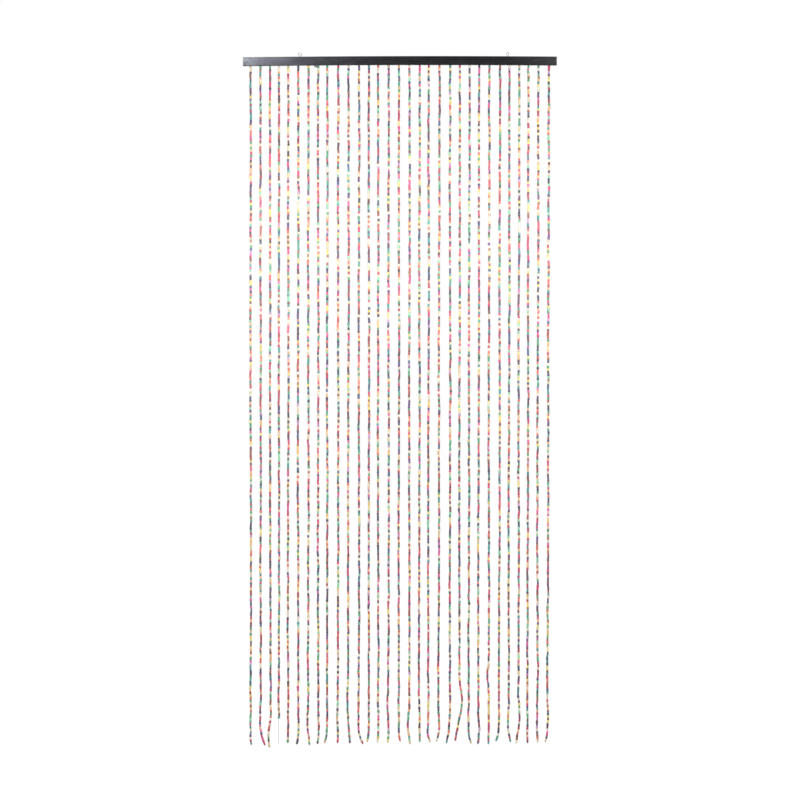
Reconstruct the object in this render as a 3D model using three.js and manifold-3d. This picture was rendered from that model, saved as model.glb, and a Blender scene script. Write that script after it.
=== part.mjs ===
// Beaded door curtain: strands of short dyed bamboo beads on clear line, hung from a black-stained wooden
// rail with two screw eyes on top.
// Millimetres. +X is right seen from the front, +Y points back and +Z is up. The origin is the middle of the
// rail's back face.

import * as THREE from 'three';
import { mergeVertices } from 'three/addons/utils/BufferGeometryUtils.js';
import Module from 'manifold-3d';

// Clearance between neighbouring pieces, and how far a cutter or a root reaches past a face
const CLEARANCE = 0.3;
const OVERRUN = 1;

// The rail is one batten, a little bowed: its ends lie lower than its middle by the two drops
const RAIL = {
  length: 900, height: 25, thickness: 12, arris: 1, leftDrop: 3.2, rightDrop: 1.3, segments: 18,
};

// A stopped groove along the rail's underside holds the strip that the strands are tied to
const GROOVE = { width: 4, depth: 3, endMargin: 8 };
const STRIP = { width: 3.4, height: 1.5 };

// Screw eyes: an open ring of wire with its shank in a pilot hole. freeEnd and bendStart are angles around
// the ring in degrees, and turn is the eye's turn about its shank
const EYE = {
  wire: 2, ringOuter: 11, top: 12.8, shank: 11, freeEnd: 236, bendStart: 290, bendLength: 0.9,
  wireSides: 8, steps: 30,
};
const EYES = [
  { name: 'screw_eye_left', x: -286.6, turn: 0 },
  { name: 'screw_eye_right', x: 309, turn: 35 },
];
const PILOT_HOLE_SIDES = 12;

// Strands: a square section as wide as a bead, on a thin line. The first strand hangs at firstRoot, the rest
// follow at the pitch, and the shortest ends at foot
const STRAND = {
  width: 6.2, lineWidth: 1, pitch: 28.5, firstRoot: -427.5, foot: -1950,
  upperStep: 190, lowerStep: 14, lowerSteps: 18, shoulder: 0.5,
};

// Every strand waves a little on its way down. The sideways waves fade in below the rail
const WAVE = { side: 0.7, depth: 0.9, length: 1150, phaseStep: 0.37, fadeIn: 300 };

// One row for each strand, from the left, in millimetres:
// offset   the root's place beside the even pitch
// drift    how far sideways the strand has moved by its foot
// bow      sideways bow near the foot, bowUp its height above the foot, bowSpan half its length
// curl     sideways turn of the very end, and curlUp the length that turns
// extra    how much lower than the shortest strand it ends
const COLUMNS = ['offset', 'drift', 'bow', 'bowUp', 'bowSpan', 'curl', 'curlUp', 'extra'];
const ROWS = [
  [-1, 1, -1, 180, 70, 2, 30, 12],
  [-1, 1, -2, 80, 60, 10, 50, 13],
  [-2.5, 2, -6, 32, 58, -1, 25, 19],
  [-5, 0, 0, 100, 70, 0, 70, 7],
  [-6.5, -1, 1, 200, 60, -1, 40, 6],
  [-6.5, -1, 2, 60, 60, -3, 25, 10],
  [-6, 0, -3, 72, 45, 4, 45, 12],
  [-6.5, 0, 1, 35, 35, -3, 22, 9],
  [-8.5, -1, 1, 100, 60, -7, 35, 6],
  [-5.5, -1, -2, 80, 60, -2, 25, 6],
  [-4.5, -2, -3, 130, 70, 6, 90, 7],
  [-3.5, 0, -1, 90, 60, 11, 50, 9],
  [-3.5, 0, -1, 140, 60, -5, 30, 3],
  [-5.5, 0, -2, 115, 50, -2, 25, 4],
  [-4, 0, -3, 110, 60, 0, 30, 4],
  [-2.5, -1, -1, 90, 60, 3, 30, 1],
  [-1, -1, -3, 55, 50, 3, 30, 9],
  [0, -2, 1, 90, 60, 3, 160, 3],
  [-2.5, -2, -3, 28, 28, 5, 16, 3],
  [-0.5, -3, 3, 50, 50, -4, 25, 1],
  [2, -1, 1, 120, 60, -10, 110, 7],
  [1, -2, 8, 110, 70, -11, 110, 0],
  [0.5, -3, 1, 120, 60, 8, 48, 7],
  [-0.5, -3, 2, 45, 45, -1, 20, 9],
  [0, -2, -5, 195, 40, 0, 40, 9],
  [2.5, -3, 1, 70, 60, -8, 32, 1],
  [1, -3, -2, 55, 50, 6, 35, 3],
  [0.5, -3, 4, 85, 65, -5, 50, 7],
  [-1.5, -3, 0, 100, 60, 0, 40, 6],
  [-1.5, -4, 1, 210, 60, 2, 40, 4],
  [0, -4, 2, 85, 40, -6, 32, 3],
];
const STRANDS = ROWS.map((row) => Object.fromEntries(COLUMNS.map((name, k) => [name, row[k]])));

// The lowest beads of one strand are gone, which leaves this much of its line bare
const BARE_STRAND = 3;
const BARE_LENGTH = 70;

const wasm = await Module();
wasm.setup();

// Height of the bowed rail's middle line at x
function bowAt(x) {
  const u = x / (RAIL.length / 2);
  const tilt = (RAIL.leftDrop - RAIL.rightDrop) / 2;
  const sag = (RAIL.leftDrop + RAIL.rightDrop) / 2;
  return tilt * u - sag * u * u;
}

const railTopAt = (x) => bowAt(x) + RAIL.height / 2;
const railUndersideAt = (x) => bowAt(x) - RAIL.height / 2;
const middleDepth = -RAIL.thickness / 2;
const stripLow = -RAIL.height / 2 + GROOVE.depth - CLEARANCE - STRIP.height;

// A bar along the rail's bow, from low to high about its middle line and centred on the rail's thickness
function bowedBar({ length, low, high, thickness, arris = 0 }) {
  const stations = Array.from({ length: RAIL.segments + 1 }, (_, k) => length * (k / RAIL.segments - 0.5));
  const edge = (height) => stations.map((x) => new THREE.Vector2(x, bowAt(x) + height));
  const outline = new THREE.Shape([...edge(low), ...edge(high).reverse()]);
  const bar = new THREE.ExtrudeGeometry(outline, {
    depth: thickness - 2 * arris, bevelEnabled: arris > 0, bevelThickness: arris, bevelSize: arris,
    bevelOffset: -arris, bevelSegments: 2,
  });
  bar.rotateX(Math.PI / 2);
  bar.translate(0, middleDepth + thickness / 2 - arris, 0);
  return bar;
}

function toSolid(geometry) {
  const bare = geometry.clone();
  bare.deleteAttribute('normal');
  bare.deleteAttribute('uv');
  const merged = mergeVertices(bare);
  return new wasm.Manifold(new wasm.Mesh({
    numProp: 3,
    vertProperties: new Float32Array(merged.attributes.position.array),
    triVerts: new Uint32Array(merged.index.array),
  }));
}

function toGeometry(solid) {
  const mesh = solid.getMesh();
  const geometry = new THREE.BufferGeometry();
  geometry.setAttribute('position', new THREE.BufferAttribute(mesh.vertProperties, 3));
  geometry.setIndex(new THREE.BufferAttribute(mesh.triVerts, 1));
  geometry.computeVertexNormals();
  return geometry;
}

// Pilot hole for a screw eye's shank, as a cutter
function pilotHole(x) {
  const radius = EYE.wire / 2 + CLEARANCE;
  const low = railTopAt(x) - EYE.shank - CLEARANCE;
  const high = railTopAt(x) + OVERRUN;
  const hole = new THREE.CylinderGeometry(radius, radius, high - low, PILOT_HOLE_SIDES);
  hole.rotateX(Math.PI / 2);
  hole.translate(x, middleDepth, (low + high) / 2);
  return hole;
}

function railGeometry() {
  let rail = toSolid(bowedBar({
    length: RAIL.length, low: -RAIL.height / 2, high: RAIL.height / 2, thickness: RAIL.thickness,
    arris: RAIL.arris,
  }));
  rail = rail.subtract(toSolid(bowedBar({
    length: RAIL.length - 2 * GROOVE.endMargin, low: -RAIL.height / 2 - OVERRUN,
    high: -RAIL.height / 2 + GROOVE.depth, thickness: GROOVE.width,
  })));
  for (const eye of EYES) rail = rail.subtract(toSolid(pilotHole(eye.x)));
  return toGeometry(rail);
}

// Part of a circle in the XZ plane about a centre height, between two angles in degrees
class RingArc extends THREE.Curve {
  constructor(radius, height, from, to) {
    super();
    Object.assign(this, { radius, height, from, to });
  }

  getPoint(t, target = new THREE.Vector3()) {
    const angle = THREE.MathUtils.degToRad(this.from + (this.to - this.from) * t);
    return target.set(this.radius * Math.cos(angle), 0, this.height + this.radius * Math.sin(angle));
  }
}

// A screw eye about its shank's axis, with z = 0 at the rail's top: round the ring from its free end, then a
// short bend into the shank
function screwEyeGeometry() {
  const radius = (EYE.ringOuter - EYE.wire) / 2;
  const centre = EYE.top - EYE.ringOuter / 2;
  const ring = new RingArc(radius, centre, EYE.freeEnd, EYE.bendStart - 360);
  const ringEnd = ring.getPoint(1);
  const heading = ring.getTangent(1);
  const corner = ringEnd.clone().addScaledVector(heading, -ringEnd.x / heading.x);
  const bendStart = corner.clone().addScaledVector(heading, -EYE.bendLength);
  const bendEnd = new THREE.Vector3(0, 0, corner.z - EYE.bendLength);

  const path = new THREE.CurvePath();
  path.add(ring);
  path.add(new THREE.LineCurve3(ringEnd, bendStart));
  path.add(new THREE.QuadraticBezierCurve3(bendStart, corner, bendEnd));
  path.add(new THREE.LineCurve3(bendEnd, new THREE.Vector3(0, 0, -EYE.shank)));

  const wire = new THREE.Shape().absarc(0, 0, EYE.wire / 2, 0, 2 * Math.PI);
  return new THREE.ExtrudeGeometry(wire, {
    extrudePath: path, steps: EYE.steps, curveSegments: EYE.wireSides / 2, bevelEnabled: false,
  });
}

const rootOf = (strand, index) => STRAND.firstRoot + STRAND.pitch * index + strand.offset;
const footOf = (strand) => STRAND.foot - strand.extra;

// 1 at the middle of a bow and 0 from its ends on
function bell(t) {
  return Math.abs(t) < 1 ? (1 + Math.cos(Math.PI * t)) / 2 : 0;
}

// The strand's centre at height z: the root, the drift, a light wave, then the bow and the curl at its foot
function strandCentre(strand, index, z) {
  const root = rootOf(strand, index);
  const hung = railUndersideAt(root) - z;
  const up = z - footOf(strand);
  const wave = 2 * Math.PI * (hung / WAVE.length + WAVE.phaseStep * index);
  const fade = THREE.MathUtils.smoothstep(hung, 0, WAVE.fadeIn);
  const drift = strand.drift * hung / (hung + up);
  const bow = strand.bow * bell((up - strand.bowUp) / strand.bowSpan);
  const curl = strand.curl * Math.max(0, 1 - up / strand.curlUp) ** 2;
  const x = root + drift + bow + curl + fade * WAVE.side * Math.sin(wave);
  const y = middleDepth + fade * WAVE.depth * Math.cos(wave + index);
  return new THREE.Vector2(x, y);
}

// Heights and widths of a strand's rings, from inside the strip down to its foot
function strandRings(strand, index) {
  const root = rootOf(strand, index);
  const foot = footOf(strand);
  const bare = index === BARE_STRAND ? BARE_LENGTH : 0;
  const beadTop = railUndersideAt(root) - CLEARANCE - STRAND.shoulder;
  const lowerTop = foot + STRAND.lowerStep * STRAND.lowerSteps;
  const upperSteps = Math.round((beadTop - lowerTop) / STRAND.upperStep);

  const rings = [
    { z: bowAt(root) + stripLow + STRIP.height / 2, width: STRAND.lineWidth },
    { z: beadTop + STRAND.shoulder, width: STRAND.lineWidth },
  ];
  for (let k = 0; k < upperSteps; k += 1) {
    rings.push({ z: beadTop + (lowerTop - beadTop) * (k / upperSteps), width: STRAND.width });
  }
  for (let k = 0; k <= STRAND.lowerSteps; k += 1) {
    const z = lowerTop - STRAND.lowerStep * k;
    const width = z - foot < bare ? STRAND.lineWidth : STRAND.width;
    if (width !== rings[rings.length - 1].width) {
      rings.push({ z: foot + bare + STRAND.shoulder, width: STRAND.width });
      rings.push({ z: foot + bare, width });
    }
    rings.push({ z, width });
  }
  return rings;
}

// A square bar whose rings are moved to the strand's heights, widths and centres
function strandGeometry(strand, index) {
  const rings = strandRings(strand, index);
  const last = rings.length - 1;
  const bar = new THREE.CylinderGeometry(Math.SQRT1_2, Math.SQRT1_2, last, 4, last, false, Math.PI / 4);
  bar.rotateX(Math.PI / 2);
  const position = bar.attributes.position;
  for (let k = 0; k < position.count; k += 1) {
    const { z, width } = rings[Math.round(last / 2 - position.getZ(k))];
    const centre = strandCentre(strand, index, z);
    position.setXYZ(k, centre.x + width * position.getX(k), centre.y + width * position.getY(k), z);
  }
  return bar;
}

function beadStrandsGeometry() {
  let strands = toSolid(bowedBar({
    length: RAIL.length - 2 * (GROOVE.endMargin + CLEARANCE), low: stripLow, high: stripLow + STRIP.height,
    thickness: STRIP.width,
  }));
  STRANDS.forEach((strand, index) => {
    strands = strands.add(toSolid(strandGeometry(strand, index)));
  });
  return toGeometry(strands);
}

const stainedWood = new THREE.MeshStandardMaterial({ color: 0x26262a, roughness: 0.45, metalness: 0 });
const brightSteel = new THREE.MeshStandardMaterial({ color: 0xc8cbd0, roughness: 0.25, metalness: 1 });
const dyedBamboo = new THREE.MeshStandardMaterial({ color: 0xb06a70, roughness: 0.5, metalness: 0 });

function namedMesh(name, geometry, material) {
  const mesh = new THREE.Mesh(geometry, material);
  mesh.name = name;
  return mesh;
}

const group = new THREE.Group();
group.add(namedMesh('rail', railGeometry(), stainedWood));
group.add(namedMesh('bead_strands', beadStrandsGeometry(), dyedBamboo));
for (const eye of EYES) {
  const mesh = namedMesh(eye.name, screwEyeGeometry(), brightSteel);
  mesh.position.set(eye.x, middleDepth, railTopAt(eye.x));
  mesh.rotation.z = THREE.MathUtils.degToRad(eye.turn);
  group.add(mesh);
}

export default group;
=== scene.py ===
"""Door curtain of short dyed bamboo beads on clear line, hung from a black-stained rail with two screw eyes.

Metres in Blender and millimetres in the named sizes. +X is right seen from the front, +Y points back to the
wall and +Z is up. The origin is the middle of the rail's back face.
"""

import math

import bmesh
import bpy
import numpy as np
from mathutils import Matrix, Vector


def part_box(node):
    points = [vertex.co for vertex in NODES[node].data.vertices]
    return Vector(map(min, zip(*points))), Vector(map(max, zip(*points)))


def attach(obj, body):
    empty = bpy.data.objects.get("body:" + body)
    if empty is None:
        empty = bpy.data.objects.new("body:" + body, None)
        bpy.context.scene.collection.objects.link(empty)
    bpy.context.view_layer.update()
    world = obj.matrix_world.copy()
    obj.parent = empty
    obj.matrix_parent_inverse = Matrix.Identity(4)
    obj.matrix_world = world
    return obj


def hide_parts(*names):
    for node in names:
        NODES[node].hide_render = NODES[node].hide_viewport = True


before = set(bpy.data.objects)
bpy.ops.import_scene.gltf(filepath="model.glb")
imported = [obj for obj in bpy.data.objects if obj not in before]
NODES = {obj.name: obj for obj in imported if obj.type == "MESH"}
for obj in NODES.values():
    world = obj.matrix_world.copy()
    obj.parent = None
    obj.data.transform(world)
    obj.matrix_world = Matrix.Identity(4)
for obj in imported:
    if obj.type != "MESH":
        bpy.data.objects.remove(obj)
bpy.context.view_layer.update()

MM = 0.001
SEED = 1957

# The rail as the frame holds it, and the finer form of its edges and groove
RAIL = {
    "length": 900, "height": 25, "thickness": 12, "left_drop": 3.2, "right_drop": 1.3, "stations": 36,
    "arris": 0.7, "arris_segments": 4, "sharp_angle": 35,
}
GROOVE = {"width": 4, "depth": 3, "end_margin": 8}
STRIP = {"width": 3.4, "height": 1.5, "lift": 1.2, "arris": 0.3, "arris_segments": 2, "end_margin": 8.3}
MIDDLE_DEPTH = -RAIL["thickness"] / 2

# How far down a face of the underside looks, how near a cut may pass a point, and how near points are one
FACES_DOWN = -0.99
CUT_NEAR = 1e-5
SAME_POINT = 1e-7

# Screw eyes: wire and ring sizes, and angles round the ring in degrees
EYE = {
    "wire": 2, "ring_outer": 11, "free_end": 236, "bend_start": -70, "bend_length": 0.9, "shank_end": 8,
    "sides": 16, "ring_steps": 64, "bend_steps": 10, "end_chamfer": 0.3, "chamfer_segments": 2,
    "sharp_angle": 50,
}
EYE_TURNS = {"screw_eye_left": 0, "screw_eye_right": 35}

# One bead, before it is stretched to its own length and thickness
BEAD = {"length": 7.4, "radius": 3.1, "bore": 1.1, "round_in": 0.4, "round_down": 0.5, "sides": 9}
BEAD_LENGTH = {"mean": 7.39, "spread": 0.24, "least": 6.6, "most": 8.2}
BEAD_GAP = 0.22
BEAD_THICKNESS = {"spread": 0.065, "least": 0.86, "most": 1.14}
BEAD_OVAL = 0.035
BEAD_TAPER = 0.045
BEAD_FACETS = 0.022

# How near the rail's underside a strand's points still belong to its root, how far outside the bore a bead's
# wall begins, and the tilt past which a face is a bead's end
IN_STRIP = 0.1
OUT_OF_BORE = 0.1
BEAD_END_TILT = 0.9

# Where the bead's map has its rings, from the top bore over the wall to the foot bore, and its seam. Then how
# near a ring counts as that ring, how wide a face is that wraps round the seam, and each bead's margin
BEAD_MAP = {
    "top_bore": 0.02, "top_rim": 0.17, "top_wall": 0.23, "foot_wall": 0.7, "foot_rim": 0.76,
    "foot_bore": 0.91, "seam": 0.98, "near": 0.01, "wrap": 0.5, "margin": 0.03,
}

# How much a batch differs in shade and in cast, with the least and most of each, and of any colour
BATCH = {
    "shade": 0.1, "deepest": 0.75, "palest": 1.25, "cast": 0.04, "least_cast": 0.9, "most_cast": 1.1,
    "darkest": 0.002, "lightest": 0.97,
}

# How the strung beads wander off their strand's middle line, in millimetres
WANDER = {"step": 0.48, "keep": 0.55}

# The line, its knots and how unevenly they are pulled
LINE = {"radius": 0.58, "root_lift": 0.4, "tail": 3.5, "tail_lean": 0.8, "joints_for_a_ring": 2}
KNOT = {
    "ring": 0.75, "wire": 0.5, "ring_steps": 8, "wire_sides": 6, "below": 0.5, "stray": 0.12, "tilt": 0.45,
}

# Spare line wound up beside one strand's top: middle, size, turns and how much the turns differ
COIL_STRAND = 8
SPARE_COIL = {
    "x": -241.8, "z": -17.0, "width": 7.4, "height": 5.2, "turns": 12, "steps": 20, "wire": 0.45,
    "smallest": 0.25, "depth": 2.6, "stray": 0.35,
}

# Numbers that keep the random draws of the lines, the knots and the coil apart from the strands'
KNOT_SEED = SEED + 500
COIL_SEED = SEED + 900

# The curve from a colour as seen to the linear values of the shaders, and its straight foot
SEEN = {"offset": 0.055, "power": 2.4, "foot": 0.04, "foot_slope": 12.92}

# Dyes as a dyer would name them, with how often each one is strung. Some strands end in a natural bead
DYES = {
    "magenta": ((216, 28, 108), 9),
    "fuchsia": ((232, 82, 160), 4),
    "coral": ((236, 106, 88), 8),
    "crimson": ((184, 28, 62), 8),
    "maroon": ((106, 40, 38), 8),
    "rust": ((170, 90, 48), 5),
    "indigo": ((50, 36, 102), 6),
    "midnight": ((22, 24, 48), 5),
    "purple": ((98, 36, 124), 5),
    "petrol": ((24, 86, 132), 5),
    "teal": ((32, 154, 146), 8),
    "green": ((58, 164, 108), 8),
    "mint": ((134, 212, 168), 5),
    "yellow": ((248, 218, 98), 7),
    "peach": ((248, 182, 118), 6),
    "lilac": ((204, 152, 200), 2),
    "natural": ((232, 210, 162), 8),
    "cream": ((242, 230, 204), 9),
}
NATURAL_ENDS = (3, 17, 19, 23, 30, 31)
BARE_BAMBOO = (216, 184, 140)

# Grain of each finish, in millimetres along X, Y and Z
GRAIN = {
    "bamboo fibre": (0.32, 0.32, 6.0), "bamboo blotch": (3.2, 3.2, 4.5),
    "wood grain": (70.0, 1.1, 1.1), "wood pores": (14.0, 0.35, 0.35), "wood patches": (38.0, 9.0, 9.0),
    "varnish mottle": (6.0, 3.5, 3.5), "zinc cloud": (1.6, 1.6, 1.6), "zinc lines": (0.25, 0.25, 0.25),
    "nylon cloud": (0.9, 0.9, 4.0),
}

# How far each bead's grain is taken from the next one's, for each whole step of its tone
TONE_SHIFT = (31.0, 57.0, 83.0)

# Colours of the other finishes, as the shaders take them
STAIN = {
    "deep": (0.003, 0.003, 0.0034, 1), "thin": (0.012, 0.0116, 0.0132, 1),
    "worn": (0.015, 0.0146, 0.0165, 1),
}
ZINC_PLATE = {"bright": (0.68, 0.69, 0.71, 1), "dull": (0.58, 0.59, 0.61, 1)}
NYLON_LINE = {"cloudy": (0.6, 0.6, 0.59, 1), "clear": (0.74, 0.74, 0.73, 1)}
FIBRE_SHADE = (0.62, 0.6, 0.62, 1)
FLOOR_PAINT = (0.9, 0.9, 0.9, 1)
WHITE = (1, 1, 1, 1)

# The photograph's frame: its size, the rail's length and the rail's middle, in pixels
PHOTO_PIXELS = 800
RAIL_PIXELS = 313.7
RAIL_MIDDLE_PIXELS = (399.9, 60.66)
MM_PER_PIXEL = RAIL["length"] / RAIL_PIXELS
CAMERA_DISTANCE = 8.0
FLOOR = {"height": -2.05, "side": 30.0}

# Strength of the white that the camera sees and of the white that lights the object, and the cool cast of the
# light on the rail's left end
WORLD = {"seen": 1.0, "light": 0.4}
BLUE_WHITE = (0.86, 0.9, 1.0)


def bow_at(x):
    """Height in millimetres of the bowed rail's middle line at x millimetres."""
    u = x / (RAIL["length"] / 2)
    tilt = (RAIL["left_drop"] - RAIL["right_drop"]) / 2
    sag = (RAIL["left_drop"] + RAIL["right_drop"]) / 2
    return tilt * u - sag * u * u


def underside_at(x):
    return bow_at(x) - RAIL["height"] / 2


class Value:
    """An output of a node, with the arithmetic that the finishes use."""

    def __init__(self, finish, socket):
        self.finish = finish
        self.socket = socket

    def __add__(self, other):
        return self.finish.maths("ADD", self, other)

    __radd__ = __add__

    def __mul__(self, other):
        return self.finish.maths("MULTIPLY", self, other)

    __rmul__ = __mul__


class Finish:
    """A material, or the world, with one method that adds any node and a few for the usual ones."""

    def __init__(self, owner):
        self.owner = owner
        owner.use_nodes = True
        self.tree = owner.node_tree
        self.tree.nodes.clear()

    def node(self, kind, settings=None, inputs=None, output=0):
        """Adds a node: its settings first, then its inputs by name or number. Returns one of its outputs."""
        made = self.tree.nodes.new(kind)
        for name, value in (settings or {}).items():
            setattr(made, name, value)
        for name, value in (inputs or {}).items():
            if isinstance(value, Value):
                self.tree.links.new(value.socket, made.inputs[name])
            else:
                made.inputs[name].default_value = value
        return Value(self, made.outputs[output]) if len(made.outputs) else None

    def maths(self, operation, a, b):
        return self.node("ShaderNodeMath", {"operation": operation}, {0: a, 1: b})

    def vector(self, operation, a, b):
        return self.node("ShaderNodeVectorMath", {"operation": operation}, {0: a, 1: b})

    def ramp(self, value, low, high, start=0.0, end=1.0):
        """The value's range low to high, stretched smoothly to start to end."""
        settings = {"interpolation_type": "SMOOTHSTEP"}
        inputs = {"Value": value, "From Min": low, "From Max": high, "To Min": start, "To Max": end}
        return self.node("ShaderNodeMapRange", settings, inputs)

    def mix(self, factor, a, b, blend="MIX"):
        """Two colours mixed. The numbers are the colour sockets of the Mix node."""
        settings = {"data_type": "RGBA", "blend_type": blend, "clamp_factor": True}
        return self.node("ShaderNodeMix", settings, {0: factor, 6: a, 7: b}, output=2)

    def attribute(self, name, output="Fac"):
        return self.node("ShaderNodeAttribute", {"attribute_name": name}, output=output)

    def place(self, grain):
        """Object coordinates divided by the grain's size in millimetres along each axis."""
        coordinates = self.node("ShaderNodeTexCoord", output="Object")
        return self.vector("MULTIPLY", coordinates, tuple(1 / (MM * size) for size in grain))

    def noise(self, place, detail=2.0, roughness=0.5, distortion=0.0):
        inputs = {"Vector": place, "Scale": 1.0, "Detail": detail, "Roughness": roughness,
                  "Distortion": distortion}
        return self.node("ShaderNodeTexNoise", None, inputs)

    def bump(self, height, strength, distance):
        inputs = {"Height": height, "Strength": strength, "Distance": distance * MM}
        return self.node("ShaderNodeBump", None, inputs)

    def principled(self, inputs):
        shader = self.node("ShaderNodeBsdfPrincipled", None, inputs)
        self.node("ShaderNodeOutputMaterial", None, {"Surface": shader})
        return self.owner


def linear(colour):
    """A colour as seen, 0 to 255, as the linear values that the shaders take."""
    curved = [((c / 255 + SEEN["offset"]) / (1 + SEEN["offset"])) ** SEEN["power"] for c in colour]
    straight = [c / 255 / SEEN["foot_slope"] for c in colour]
    return tuple(high if c / 255 > SEEN["foot"] else low for c, high, low in zip(colour, curved, straight))


def new_finish(name):
    return Finish(bpy.data.materials.new(name))


def dyed_bamboo():
    """Dyed bamboo with darker fibres along the bead, uneven dye and paler, worn rims."""
    finish = new_finish("dyed bamboo")
    dye = finish.attribute("dye", "Color")
    tone = finish.attribute("tone")
    rim = finish.attribute("rim")
    along_axes = {axis: tone * far for axis, far in enumerate(TONE_SHIFT)}
    shift = finish.node("ShaderNodeCombineXYZ", None, along_axes)
    fibre_place = finish.vector("ADD", finish.place(GRAIN["bamboo fibre"]), shift)
    fibre = finish.noise(fibre_place, detail=3.0, roughness=0.6)
    blotch = finish.noise(finish.vector("ADD", finish.place(GRAIN["bamboo blotch"]), shift))

    deep = finish.mix(1.0, dye, FIBRE_SHADE, blend="MULTIPLY")
    raw = finish.mix(0.5, dye, (*linear(BARE_BAMBOO), 1))
    worn = rim * finish.ramp(blotch, 0.35, 0.65, start=0.1, end=0.55)
    colour = finish.mix(finish.ramp(fibre, 0.42, 0.72, end=0.55), dye, deep)
    colour = finish.mix(finish.ramp(blotch, 0.5, 0.8, end=0.12), colour, raw)
    return finish.principled({
        "Base Color": finish.mix(worn, colour, raw),
        "Roughness": finish.ramp(fibre, 0.3, 0.7, start=0.32, end=0.44),
        "Specular IOR Level": 1.0,
        "IOR": 1.65,
        "Normal": finish.bump(fibre, strength=0.35, distance=0.12),
    })


def stained_wood():
    """Black stain under satin varnish. The grain runs along the rail and stands out a little."""
    finish = new_finish("black stained wood")
    grain = finish.noise(finish.place(GRAIN["wood grain"]), detail=4.0, roughness=0.65, distortion=0.4)
    pores = finish.noise(finish.place(GRAIN["wood pores"]))
    patches = finish.noise(finish.place(GRAIN["wood patches"]))
    mottle = finish.noise(finish.place(GRAIN["varnish mottle"]), detail=3.0, roughness=0.6)

    stain = finish.mix(finish.ramp(grain, 0.35, 0.7), STAIN["deep"], STAIN["thin"])
    sheen = grain * 0.3 + mottle * 0.7
    relief = grain * 0.7 + pores * 0.3
    return finish.principled({
        "Base Color": finish.mix(finish.ramp(patches, 0.45, 0.75, end=0.5), stain, STAIN["worn"]),
        "Roughness": finish.ramp(sheen, 0.37, 0.63, start=0.46, end=0.66),
        "Specular IOR Level": 0.1,
        "Normal": finish.bump(relief, strength=0.6, distance=0.15),
    })


def zinc_plate():
    """Bright zinc plate on steel wire, with faint drawn lines and dull spots."""
    finish = new_finish("bright zinc plate")
    cloud = finish.noise(finish.place(GRAIN["zinc cloud"]), detail=3.0, roughness=0.6)
    lines = finish.noise(finish.place(GRAIN["zinc lines"]))
    return finish.principled({
        "Base Color": finish.mix(finish.ramp(cloud, 0.35, 0.7), ZINC_PLATE["bright"], ZINC_PLATE["dull"]),
        "Metallic": 1.0,
        "Roughness": finish.ramp(cloud * 0.6 + lines * 0.4, 0.35, 0.65, start=0.22, end=0.38),
        "Normal": finish.bump(lines, strength=0.15, distance=0.03),
    })


def nylon():
    """Clear nylon line, a little cloudy."""
    finish = new_finish("clear nylon line")
    cloud = finish.noise(finish.place(GRAIN["nylon cloud"]))
    return finish.principled({
        "Base Color": finish.mix(finish.ramp(cloud, 0.35, 0.65), NYLON_LINE["cloudy"], NYLON_LINE["clear"]),
        "Roughness": finish.ramp(cloud, 0.3, 0.7, start=0.1, end=0.2),
        "Transmission Weight": 0.85,
        "IOR": 1.5,
    })


def finished(name, mesh, material, node):
    """Links a mesh as a piece of the object that replaces a node and takes its finish from a slot."""
    mesh.materials.append(material)
    piece = bpy.data.objects.new(name, mesh)
    bpy.context.scene.collection.objects.link(piece)
    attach(piece, "root")
    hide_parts(node)
    return piece


def to_mesh(shape, name):
    """A bmesh in millimetres as a mesh in metres."""
    bmesh.ops.scale(shape, vec=(MM, MM, MM), verts=shape.verts)
    mesh = bpy.data.meshes.new(name)
    shape.to_mesh(mesh)
    shape.free()
    return mesh


def cut_across(shape, axis, places):
    """Cuts the whole shape by planes square to an axis, without taking anything away."""
    normal = [0, 0, 0]
    normal[axis] = 1
    for place in places:
        point = [0, 0, 0]
        point[axis] = place
        geometry = shape.verts[:] + shape.edges[:] + shape.faces[:]
        bmesh.ops.bisect_plane(shape, geom=geometry, dist=CUT_NEAR, plane_co=point, plane_no=normal)


def rounded_bar(length, thickness, height, arris, segments):
    """A bar along X about the rail's middle depth, with all its arrises rounded."""
    bar = bmesh.new()
    bmesh.ops.create_cube(bar, size=1.0)
    bmesh.ops.scale(bar, vec=(length, thickness, height), verts=bar.verts)
    bmesh.ops.bevel(bar, geom=bar.edges[:], offset=arris, offset_type="OFFSET", segments=segments,
                    profile=0.5, affect="EDGES", material=-1)
    bmesh.ops.translate(bar, vec=(0, MIDDLE_DEPTH, 0), verts=bar.verts)
    return bar


def bend_to_bow(bar):
    """Cuts a bar at even stations and lets it follow the rail's bow."""
    half = RAIL["length"] / 2
    cut_across(bar, 0, [half * (2 * k / RAIL["stations"] - 1) for k in range(1, RAIL["stations"])])
    for vert in bar.verts:
        vert.co.z += bow_at(vert.co.x)


def make_rail():
    """The batten with its stopped groove pressed into the underside."""
    rail = rounded_bar(RAIL["length"], RAIL["thickness"], RAIL["height"], RAIL["arris"],
                       RAIL["arris_segments"])
    half_groove = GROOVE["width"] / 2
    end = RAIL["length"] / 2 - GROOVE["end_margin"]
    cut_across(rail, 1, (MIDDLE_DEPTH - half_groove, MIDDLE_DEPTH + half_groove))
    cut_across(rail, 0, (-end, end))
    floor = [
        face for face in rail.faces
        if face.normal.z < FACES_DOWN
        and abs(face.calc_center_median().y - MIDDLE_DEPTH) < half_groove
        and abs(face.calc_center_median().x) < end
    ]
    raised = bmesh.ops.extrude_face_region(rail, geom=floor)
    verts = [item for item in raised["geom"] if isinstance(item, bmesh.types.BMVert)]
    bmesh.ops.translate(rail, vec=(0, 0, GROOVE["depth"]), verts=verts)
    bmesh.ops.delete(rail, geom=floor, context="FACES_ONLY")
    bend_to_bow(rail)
    mesh = to_mesh(rail, "rail_batten")
    mesh.shade_smooth()
    mesh.set_sharp_from_angle(angle=math.radians(RAIL["sharp_angle"]))
    return finished("rail_batten", mesh, WOOD, "rail")


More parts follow.
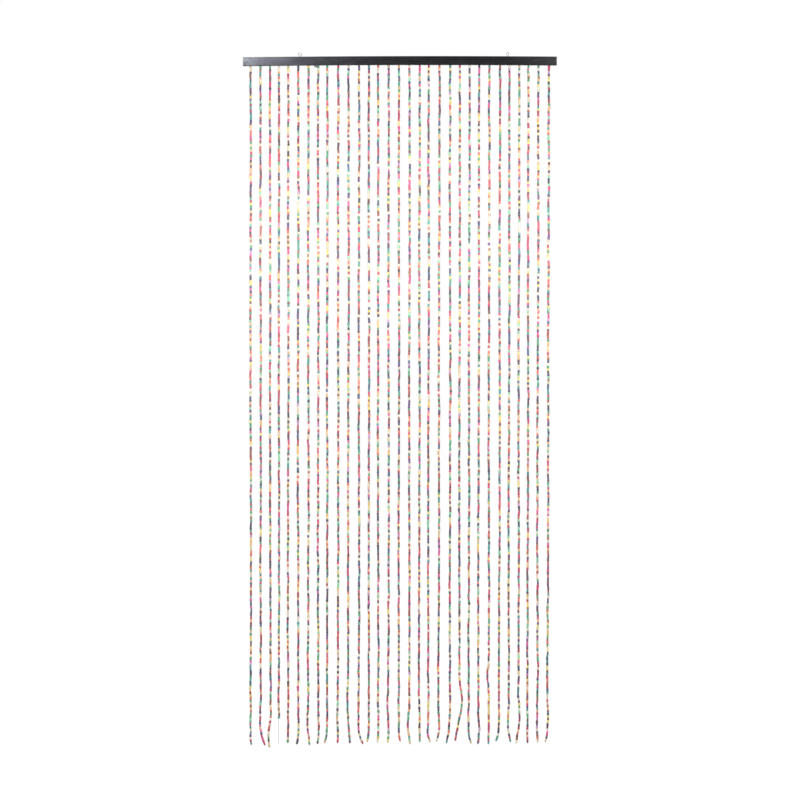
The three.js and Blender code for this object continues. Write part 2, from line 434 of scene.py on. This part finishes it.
def make_strip():
    """The slat in the groove that the lines are tied to."""
    length = RAIL["length"] - 2 * STRIP["end_margin"]
    strip = rounded_bar(length, STRIP["width"], STRIP["height"], STRIP["arris"], STRIP["arris_segments"])
    bmesh.ops.translate(strip, vec=(0, 0, -RAIL["height"] / 2 + STRIP["lift"] + STRIP["height"] / 2),
                        verts=strip.verts)
    bend_to_bow(strip)
    mesh = to_mesh(strip, "strand_slat")
    finished("strand_slat", mesh, WOOD, "bead_strands")


def sweep_along(shape, edges, **turn):
    """Spins the open end of a tube on, and returns the edges of its new end."""
    swept = bmesh.ops.spin(shape, geom=edges, use_duplicate=False, **turn)
    return [item for item in swept["geom_last"] if isinstance(item, bmesh.types.BMEdge)]


def run_straight(shape, edges, step):
    """Extrudes the open end of a tube by a step, and returns the edges of its new end."""
    made = bmesh.ops.extrude_edge_only(shape, edges=edges)
    verts = [item for item in made["geom"] if isinstance(item, bmesh.types.BMVert)]
    bmesh.ops.translate(shape, vec=step, verts=verts)
    return [item for item in made["geom"] if isinstance(item, bmesh.types.BMEdge)
            and all(vert in verts for vert in item.verts)]


def make_eye(node):
    """A screw eye: round the ring from its free end, a short straight, the bend and the shank."""
    low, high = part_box(node)
    radius = (EYE["ring_outer"] - EYE["wire"]) / 2
    centre = Vector((0, 0, high.z / MM - EYE["ring_outer"] / 2))
    start = math.radians(EYE["free_end"])
    stop = math.radians(EYE["bend_start"])

    eye = bmesh.new()
    circle = bmesh.ops.create_circle(eye, segments=EYE["sides"], radius=EYE["wire"] / 2)
    place = centre + radius * Vector((math.cos(start), 0, math.sin(start)))
    along = Vector((math.sin(start), 0, -math.cos(start)))
    turn = Vector((0, 0, 1)).rotation_difference(along).to_matrix().to_4x4()
    bmesh.ops.transform(eye, matrix=Matrix.Translation(place) @ turn, verts=circle["verts"])
    end_cap = eye.edges[:]

    ring = sweep_along(eye, end_cap, cent=centre, axis=(0, 1, 0), angle=start - stop, steps=EYE["ring_steps"])
    heading = Vector((math.sin(stop), 0, -math.cos(stop)))
    ring_end = centre + radius * Vector((math.cos(stop), 0, math.sin(stop)))
    to_corner = -ring_end.x / heading.x
    straight = run_straight(eye, ring, heading * (to_corner - EYE["bend_length"]))
    bend_angle = math.acos(-heading.z)
    bend_radius = EYE["bend_length"] / math.tan(bend_angle / 2)
    bend_start = ring_end + heading * (to_corner - EYE["bend_length"])
    inward = Vector((-heading.z, 0, heading.x))
    bend = sweep_along(eye, straight, cent=bend_start + inward * bend_radius, axis=(0, -1, 0),
                       angle=bend_angle, steps=EYE["bend_steps"])
    foot = run_straight(eye, bend, Vector((0, 0, -EYE["shank_end"])))
    for edges in (end_cap, foot):
        bmesh.ops.contextual_create(eye, geom=edges)
    bmesh.ops.bevel(eye, geom=end_cap, offset=EYE["end_chamfer"], offset_type="OFFSET",
                    segments=EYE["chamfer_segments"], profile=0.5, affect="EDGES", material=-1)
    bmesh.ops.recalc_face_normals(eye, faces=eye.faces)
    spot = Vector(((low.x + high.x) / 2 / MM, MIDDLE_DEPTH, 0))
    turned = Matrix.Translation(spot) @ Matrix.Rotation(math.radians(EYE_TURNS[node]), 4, "Z")
    bmesh.ops.transform(eye, matrix=turned, verts=eye.verts)
    mesh = to_mesh(eye, node + "_wire")
    mesh.shade_smooth()
    mesh.set_sharp_from_angle(angle=math.radians(EYE["sharp_angle"]))
    finished(node + "_wire", mesh, ZINC, node)


def strand_rings(node):
    """For each strand, from the left: its rings' centres and widths below the rail, from the top down."""
    solid = bmesh.new()
    solid.from_mesh(node.data)
    bmesh.ops.remove_doubles(solid, verts=solid.verts, dist=SAME_POINT)
    inside = [vert for vert in solid.verts if vert.co.z / MM > underside_at(vert.co.x / MM) - IN_STRIP]
    bmesh.ops.delete(solid, geom=inside, context="VERTS")
    strands = []
    left = set(solid.verts)
    while left:
        found = [left.pop()]
        for vert in found:
            for edge in vert.link_edges:
                other = edge.other_vert(vert)
                if other in left:
                    left.remove(other)
                    found.append(other)
        points = np.array([vert.co / MM for vert in found])
        heights = np.round(points[:, 2], 3)
        levels = np.unique(heights)[::-1]
        rings = [points[heights == level] for level in levels]
        centres = np.array([ring.mean(0) for ring in rings])
        widths = np.array([np.ptp(ring[:, 0]) for ring in rings])
        strands.append((centres, widths))
    solid.free()
    return sorted(strands, key=lambda strand: strand[0][0, 0])


class Path:
    """A polyline that gives the point at any length along it."""

    def __init__(self, points):
        self.points = np.asarray(points)
        steps = np.linalg.norm(np.diff(self.points, axis=0), axis=1)
        self.lengths = np.concatenate([[0], np.cumsum(steps)])
        self.length = self.lengths[-1]

    def at(self, lengths):
        return np.stack([np.interp(lengths, self.lengths, self.points[:, k]) for k in range(3)], axis=1)


def past_seam(places, moved):
    """Places on the map, with those past the seam moved on the faces that cross it."""
    crosses = np.ptp(places, axis=1)[:, None] > BEAD_MAP["wrap"]
    return np.where(crosses & (places < BEAD_MAP["wrap"]), moved, places)


def bead_shape():
    """One bead at its usual size: places, faces, map, rims and which faces shade smoothly."""
    bead = bmesh.new()
    along = bead.verts.layers.float.new("along")
    half = BEAD["length"] / 2
    shoulder = BEAD["radius"] - BEAD["round_in"]
    wall_end = half - BEAD["round_down"]
    profile = (
        (BEAD["bore"], half, "top_bore"), (shoulder, half, "top_rim"),
        (BEAD["radius"], wall_end, "top_wall"), (BEAD["radius"], -wall_end, "foot_wall"),
        (shoulder, -half, "foot_rim"), (BEAD["bore"], -half, "foot_bore"),
    )
    corners = []
    for radius, height, ring in profile:
        corner = bead.verts.new((radius, 0, height))
        corner[along] = BEAD_MAP[ring]
        corners.append(corner)
    for first, second in zip(corners, corners[1:] + corners[:1]):
        bead.edges.new((first, second))
    bmesh.ops.spin(bead, geom=bead.verts[:] + bead.edges[:], cent=(0, 0, 0), axis=(0, 0, 1),
                   angle=2 * math.pi, steps=BEAD["sides"], use_merge=True)
    bmesh.ops.recalc_face_normals(bead, faces=bead.faces)
    bead.verts.index_update()

    places = np.array([vert.co for vert in bead.verts])
    faces = np.array([[vert.index for vert in face.verts] for face in bead.faces])
    angles = np.arctan2(places[:, 1], places[:, 0]) / (2 * math.pi) % 1
    sides = np.round(angles * BEAD["sides"]).astype(int) % BEAD["sides"]
    down = np.array([vert[along] for vert in bead.verts])
    at_top_rim = np.abs(down - BEAD_MAP["top_rim"]) < BEAD_MAP["near"]
    at_foot_rim = np.abs(down - BEAD_MAP["foot_rim"]) < BEAD_MAP["near"]
    rims = (at_top_rim | at_foot_rim).astype(float)
    across = sides[faces] / BEAD["sides"]
    across = past_seam(across, across + 1)
    heights = past_seam(down[faces], BEAD_MAP["seam"])
    normals = np.array([face.normal for face in bead.faces])
    radii = np.linalg.norm(places[faces].mean(1)[:, :2], axis=1)
    smooth = (np.abs(normals[:, 2]) < BEAD_END_TILT) | (radii < BEAD["bore"])
    bead.free()
    return {
        "places": places, "faces": faces, "sides": sides, "rims": rims, "smooth": smooth,
        "map": np.stack([across, heights], axis=2),
    }


def copies_mesh(name, shape, placed, per_copy):
    """A joined mesh of copies of one shape. placed holds each copy's vertices, copy by copy."""
    copies, corners = placed.shape[:2]
    faces = (shape["faces"][None] + (np.arange(copies) * corners)[:, None, None]).reshape(-1, 4)
    mesh = bpy.data.meshes.new(name)
    mesh.vertices.add(copies * corners)
    mesh.vertices.foreach_set("co", (placed * MM).astype(np.float32).ravel())
    mesh.loops.add(faces.size)
    mesh.loops.foreach_set("vertex_index", faces.astype(np.int32).ravel())
    mesh.polygons.add(len(faces))
    mesh.polygons.foreach_set("loop_start", np.arange(0, faces.size, 4, dtype=np.int32))
    mesh.update(calc_edges=True)
    mesh.polygons.foreach_set("use_smooth", np.tile(shape["smooth"], copies))
    for label, (kind, values) in per_copy.items():
        layer = mesh.attributes.new(label, kind, "POINT")
        field = "color" if kind == "FLOAT_COLOR" else "value"
        layer.data.foreach_set(field, np.asarray(values, np.float32).ravel())
    return mesh


def give_map(mesh, shape, copies):
    """Gives each copy its own cell of a square map, with the shape's map in it."""
    row = math.ceil(math.sqrt(copies))
    cells = np.stack([np.arange(copies) % row, np.arange(copies) // row], axis=1)
    inside = BEAD_MAP["margin"] + (1 - 2 * BEAD_MAP["margin"]) * shape["map"]
    places = (cells[:, None, None, :] + inside[None]) / row
    mesh.uv_layers.new(name="OFBake").uv.foreach_set("vector", places.astype(np.float32).ravel())


def joints_along(length, random):
    """Lengths down a strand at which one bead ends and the next begins."""
    mean = BEAD_LENGTH["mean"] + BEAD_GAP
    drawn = random.normal(BEAD_LENGTH["mean"], BEAD_LENGTH["spread"], int(2 * length / mean))
    steps = np.clip(drawn, BEAD_LENGTH["least"], BEAD_LENGTH["most"]) + BEAD_GAP
    count = max(1, int(np.argmin(np.abs(np.cumsum(steps) - length))) + 1)
    ends = np.cumsum(steps[:count])
    return np.concatenate([[0], ends * length / ends[-1]])


def wander(count, random):
    """How far each joint lies off the strand's middle line, to the side and to the front."""
    drawn = random.normal(0, WANDER["step"], (count, 2))
    offsets = np.zeros((count, 3))
    for k in range(1, count):
        offsets[k, :2] = WANDER["keep"] * offsets[k - 1, :2] + drawn[k]
    return offsets


def unit(vectors):
    return vectors / np.linalg.norm(vectors, axis=1, keepdims=True)


def frames_along(axes, spin):
    """For each axis, two directions square to it and to each other, turned by an angle about it."""
    side = unit(np.cross(np.array([0.0, 1.0, 0.0]), axes))
    front = np.cross(axes, side)
    cos = np.cos(spin)[:, None]
    sin = np.sin(spin)[:, None]
    return side * cos + front * sin, front * cos - side * sin


def beads_between(joints, shape, random):
    """Vertices of a bead between each two joints, each with its own thickness, oval, taper and facets."""
    count = len(joints) - 1
    steps = joints[1:] - joints[:-1]
    middles = (joints[1:] + joints[:-1]) / 2
    axes = unit(steps)
    side, front = frames_along(axes, random.uniform(0, 2 * math.pi, count))
    thick = np.clip(random.normal(1, BEAD_THICKNESS["spread"], count),
                    BEAD_THICKNESS["least"], BEAD_THICKNESS["most"])
    oval = random.normal(0, BEAD_OVAL, count)
    taper = random.normal(0, BEAD_TAPER, count)
    facets = random.normal(1, BEAD_FACETS, (count, BEAD["sides"]))
    stretch = (np.linalg.norm(steps, axis=1) - BEAD_GAP) / BEAD["length"]

    x, y, z = shape["places"].T
    swell = 1 + taper[:, None] * z[None] / BEAD["length"]
    outside = np.hypot(x, y) > BEAD["bore"] + OUT_OF_BORE
    swell = np.where(outside[None], swell * facets[:, shape["sides"]], 1)
    wide = (thick * (1 + oval))[:, None] * swell * x[None]
    deep = (thick * (1 - oval))[:, None] * swell * y[None]
    tall = stretch[:, None] * z[None]
    return (middles[:, None] + wide[..., None] * side[:, None] + deep[..., None] * front[:, None]
            + tall[..., None] * axes[:, None])


def dyes_for(count, last, random):
    """A dye for each bead, drawn by how often it is strung, with a little of each batch's own shade."""
    names = list(DYES)
    shares = np.array([DYES[name][1] for name in names], float)
    drawn = random.choice(len(names), count, p=shares / shares.sum())
    if last is not None:
        drawn[-1] = names.index(last)
    colours = np.array([linear(DYES[name][0]) for name in names])[drawn]
    shade = np.clip(random.normal(1, BATCH["shade"], (count, 1)), BATCH["deepest"], BATCH["palest"])
    cast = np.clip(random.normal(1, BATCH["cast"], (count, 3)), BATCH["least_cast"], BATCH["most_cast"])
    return np.clip(colours * shade * cast, BATCH["darkest"], BATCH["lightest"])


def make_strand(number, centres, widths, shape):
    """One strand of beads along its solid's middle line. Returns the joints, which the line runs through."""
    random = np.random.default_rng(SEED + number)
    wide = widths > widths.max() / 2
    beaded = Path(centres[wide])
    lengths = joints_along(beaded.length, random)
    joints = beaded.at(lengths) + wander(len(lengths), random)
    placed = beads_between(joints, shape, random)
    count, corners = placed.shape[:2]
    dyes = dyes_for(count, "natural" if number in NATURAL_ENDS else None, random)
    rgba = np.concatenate([dyes, np.ones((count, 1))], axis=1)
    name = f"strand_{number:02d}"
    mesh = copies_mesh(name, shape, placed, {
        "dye": ("FLOAT_COLOR", np.repeat(rgba, corners, axis=0)),
        "tone": ("FLOAT", np.repeat(random.uniform(0, 1, count), corners)),
        "rim": ("FLOAT", np.tile(shape["rims"], count)),
    })
    give_map(mesh, shape, count)
    finished(name, mesh, BAMBOO, "bead_strands")
    bare = centres[~wide & (centres[:, 2] < joints[-1, 2])]
    return joints, bare


def wire_mesh(name, runs, radius, resolution=1):
    """Runs of wire, each a list of points in millimetres, as one mesh of round tubes with closed ends."""
    curve = bpy.data.curves.new(name, "CURVE")
    curve.dimensions = "3D"
    curve.bevel_depth = radius * MM
    curve.bevel_resolution = resolution
    curve.use_fill_caps = True
    for points in runs:
        spline = curve.splines.new("POLY")
        spline.points.add(len(points) - 1)
        flat = np.ones((len(points), 4))
        flat[:, :3] = np.asarray(points) * MM
        spline.points.foreach_set("co", flat.ravel())
    holder = bpy.data.objects.new(name, curve)
    mesh = bpy.data.meshes.new_from_object(holder)
    mesh.name = name
    bpy.data.objects.remove(holder)
    bpy.data.curves.remove(curve)
    mesh.shade_smooth()
    return mesh


def make_lines(strands):
    """The nylon line of every strand, from the slat down through the beads, with a tail under its knot."""
    random = np.random.default_rng(SEED)
    runs = []
    for joints, bare in strands:
        top = joints[0]
        root = np.array([top[0], MIDDLE_DEPTH, underside_at(top[0]) + STRIP["lift"] + LINE["root_lift"]])
        inner = joints[1:-1:LINE["joints_for_a_ring"]]
        foot = joints[-1:]
        if len(bare):
            foot = np.concatenate([foot, bare])
        lean = np.array([*random.normal(0, LINE["tail_lean"], 2), -LINE["tail"]])
        tail = foot[-1:] + lean
        runs.append(np.concatenate([[root], joints[:1], inner, foot, tail]))
    mesh = wire_mesh("nylon_lines", runs, LINE["radius"])
    finished("nylon_lines", mesh, NYLON, "bead_strands")


def knot_shape():
    """A single turn of line pulled tight, as a small ring."""
    knot = bmesh.new()
    circle = bmesh.ops.create_circle(knot, segments=KNOT["wire_sides"], radius=KNOT["wire"])
    bmesh.ops.rotate(knot, matrix=Matrix.Rotation(math.pi / 2, 3, "X"), verts=circle["verts"])
    bmesh.ops.translate(knot, vec=(KNOT["ring"], 0, 0), verts=circle["verts"])
    bmesh.ops.spin(knot, geom=knot.verts[:] + knot.edges[:], cent=(0, 0, 0), axis=(0, 0, 1),
                   angle=2 * math.pi, steps=KNOT["ring_steps"], use_merge=True)
    bmesh.ops.recalc_face_normals(knot, faces=knot.faces)
    knot.verts.index_update()
    shape = {
        "places": np.array([vert.co for vert in knot.verts]),
        "faces": np.array([[vert.index for vert in face.verts] for face in knot.faces]),
        "smooth": np.ones(len(knot.faces), bool),
    }
    knot.free()
    return shape


def make_knots(name, spots, random):
    """A knot at each spot: two crossed turns of line."""
    shape = knot_shape()
    middles = np.repeat(np.array(spots), 2, axis=0)
    middles = middles + random.normal(0, KNOT["stray"], middles.shape)
    tilts = random.normal(0, KNOT["tilt"], (len(middles), 3))
    tilts[:, 2] = 1
    axes = unit(tilts)
    side, front = frames_along(axes, random.uniform(0, 2 * math.pi, len(middles)))
    x, y, z = shape["places"].T
    placed = (middles[:, None] + x[None, :, None] * side[:, None] + y[None, :, None] * front[:, None]
              + z[None, :, None] * axes[:, None])
    mesh = copies_mesh(name, shape, placed, {})
    finished(name, mesh, NYLON, "bead_strands")


def make_root_and_foot_knots(strands):
    """A knot under the slat at each strand's root, and one under its last bead."""
    random = np.random.default_rng(KNOT_SEED)
    tops = np.array([joints[0] for joints, bare in strands])
    roots = np.stack([tops[:, 0], np.full(len(tops), MIDDLE_DEPTH), underside_at(tops[:, 0])], axis=1)
    roots[:, 2] += STRIP["lift"] - KNOT["below"]
    feet = np.array([joints[-1] for joints, bare in strands]) - (0, 0, KNOT["below"])
    make_knots("root_knots", roots, random)
    make_knots("foot_knots", feet, random)


def make_spare_coil(strand_top):
    """A spare end of line, wound up flat beside one strand's top and led back into it."""
    random = np.random.default_rng(COIL_SEED)
    turns = SPARE_COIL["turns"]
    along = np.linspace(0, turns, turns * SPARE_COIL["steps"])
    wound = np.arange(turns + 1)
    swell = np.interp(along, wound, random.uniform(SPARE_COIL["smallest"], 1, turns + 1))
    strays = random.normal(0, SPARE_COIL["stray"], (3, turns + 1))
    x, y, z = (np.interp(along, wound, stray) for stray in strays)
    x += SPARE_COIL["x"] + swell * SPARE_COIL["width"] / 2 * np.cos(2 * math.pi * along)
    y += MIDDLE_DEPTH + SPARE_COIL["depth"] * (along / turns - 0.5)
    z += SPARE_COIL["z"] + swell * SPARE_COIL["height"] / 2 * np.sin(2 * math.pi * along)
    coil = np.stack([x, y, z], axis=1)
    run = np.concatenate([[strand_top], coil])
    mesh = wire_mesh("spare_line_coil", [run], SPARE_COIL["wire"], resolution=2)
    finished("spare_line_coil", mesh, NYLON, "bead_strands")


def make_floor():
    """A plain pale floor under the curtain, which throws no light back up at it."""
    shape = bmesh.new()
    bmesh.ops.create_grid(shape, x_segments=1, y_segments=1, size=FLOOR["side"] / 2)
    bmesh.ops.translate(shape, vec=(0, 0, FLOOR["height"]), verts=shape.verts)
    mesh = bpy.data.meshes.new("floor")
    shape.to_mesh(mesh)
    shape.free()
    finish = new_finish("pale floor")
    mesh.materials.append(finish.principled({"Base Color": FLOOR_PAINT, "Roughness": 0.9}))
    floor = bpy.data.objects.new("floor", mesh)
    bpy.context.scene.collection.objects.link(floor)
    floor.visible_diffuse = False
    floor.visible_glossy = False
    floor.visible_transmission = False
    return floor


def make_world():
    """White behind the object, with a softer white as its light."""
    world = bpy.data.worlds.new("studio")
    bpy.context.scene.world = world
    studio = Finish(world)
    seen = studio.node("ShaderNodeLightPath", output="Is Camera Ray")
    soft = studio.node("ShaderNodeBackground", None, {"Color": WHITE, "Strength": WORLD["light"]})
    white = studio.node("ShaderNodeBackground", None, {"Color": WHITE, "Strength": WORLD["seen"]})
    mixed = studio.node("ShaderNodeMixShader", None, {0: seen, 1: soft, 2: white})
    studio.node("ShaderNodeOutputWorld", None, {"Surface": mixed})


def light_only(light, piece):
    """Keeps a light to one piece, and its shadows to those of that piece."""
    lit = bpy.data.collections.new(light.name + " receiver")
    lit.objects.link(piece)
    light.light_linking.receiver_collection = lit
    light.light_linking.blocker_collection = lit


def keep_off(piece, lights):
    """Keeps the lights off one piece, and lets them light all else."""
    unlit = bpy.data.collections.new(piece.name + " unlit")
    unlit.objects.link(piece)
    unlit.collection_objects[0].light_linking.link_state = "EXCLUDE"
    for light in lights:
        light.light_linking.receiver_collection = unlit


def make_sun(name, towards, strength, angle):
    """A soft light from one side, with the same strength everywhere. towards points at the light."""
    data = bpy.data.lights.new(name, "SUN")
    data.energy = strength
    data.angle = math.radians(angle)
    sun = bpy.data.objects.new(name, data)
    sun.rotation_euler = Vector(towards).to_track_quat("Z", "Y").to_euler()
    bpy.context.scene.collection.objects.link(sun)
    return sun


def make_softbox(name, place, target, size, power, colour=(1, 1, 1)):
    """A rectangular light, wide and high as size says, that the camera doesn't see."""
    data = bpy.data.lights.new(name, "AREA")
    data.shape = "RECTANGLE"
    data.size, data.size_y = size
    data.energy = power
    data.color = colour
    softbox = bpy.data.objects.new(name, data)
    softbox.location = place
    aim = Vector(place) - Vector(target)
    softbox.rotation_euler = aim.to_track_quat("Z", "Y").to_euler()
    softbox.visible_camera = False
    bpy.context.scene.collection.objects.link(softbox)
    return softbox


def make_lights(rail, floor):
    """Light from above and behind, two softboxes in front of the beads, and lights for the rail and floor."""
    keep_off(floor, [
        make_sun("overhead light", towards=(0.1, -0.6, 1.0), strength=2.0, angle=60),
        make_sun("back light", towards=(0.2, 1.0, 0.5), strength=1.3, angle=40),
        make_softbox("far softbox", (0, -1.7, -0.8), (0, 0, -0.8), size=(6.0, 0.5), power=24.0),
        make_softbox("near softbox", (0, -0.5, -0.48), (0, 0, -0.48), size=(3.0, 0.08), power=5.6),
    ])
    left_end = (-RAIL["length"] / 2 * MM, 0, 0)
    right_end = (RAIL["length"] / 2 * MM, 0, 0)
    small = (0.06, 0.06)
    rail_lights = [
        make_softbox("rail light left", (-0.5, -0.3, 0.06), left_end, small, power=12.3, colour=BLUE_WHITE),
        make_softbox("rail light right", (0.5, -0.2, 0.04), right_end, small, power=0.8),
        make_sun("rail light behind", towards=(0.2, 1.0, 0.1), strength=3.0, angle=60),
    ]
    for light in rail_lights:
        light_only(light, rail)
    light_only(make_sun("floor light", towards=(0, 0, 1), strength=2.42, angle=30), floor)


def make_camera():
    """The photograph's view: level and square to the curtain, from far away."""
    half_frame = PHOTO_PIXELS / 2 * MM_PER_PIXEL * MM
    data = bpy.data.cameras.new("camera")
    data.sensor_fit = "HORIZONTAL"
    data.angle = 2 * math.atan(half_frame / (CAMERA_DISTANCE + MIDDLE_DEPTH * MM))
    camera = bpy.data.objects.new("camera", data)
    middle = PHOTO_PIXELS / 2
    across = (middle - RAIL_MIDDLE_PIXELS[0]) * MM_PER_PIXEL * MM
    up = (RAIL_MIDDLE_PIXELS[1] - middle) * MM_PER_PIXEL * MM
    camera.location = (across, -CAMERA_DISTANCE, up)
    camera.rotation_euler = (math.pi / 2, 0, 0)
    bpy.context.scene.collection.objects.link(camera)
    bpy.context.scene.camera = camera


make_camera()
WOOD = stained_wood()
ZINC = zinc_plate()
BAMBOO = dyed_bamboo()
NYLON = nylon()

rail_piece = make_rail()
make_strip()
for eye in EYE_TURNS:
    make_eye(eye)

shape_of_bead = bead_shape()
strung = []
for number, (centres, widths) in enumerate(strand_rings(NODES["bead_strands"]), start=1):
    strung.append(make_strand(number, centres, widths, shape_of_bead))
make_lines(strung)
make_root_and_foot_knots(strung)
coil_joints, coil_bare = strung[COIL_STRAND - 1]
make_spare_coil(coil_joints[0])

make_world()
make_lights(rail_piece, make_floor())
bpy.context.scene.view_settings.view_transform = "Standard"
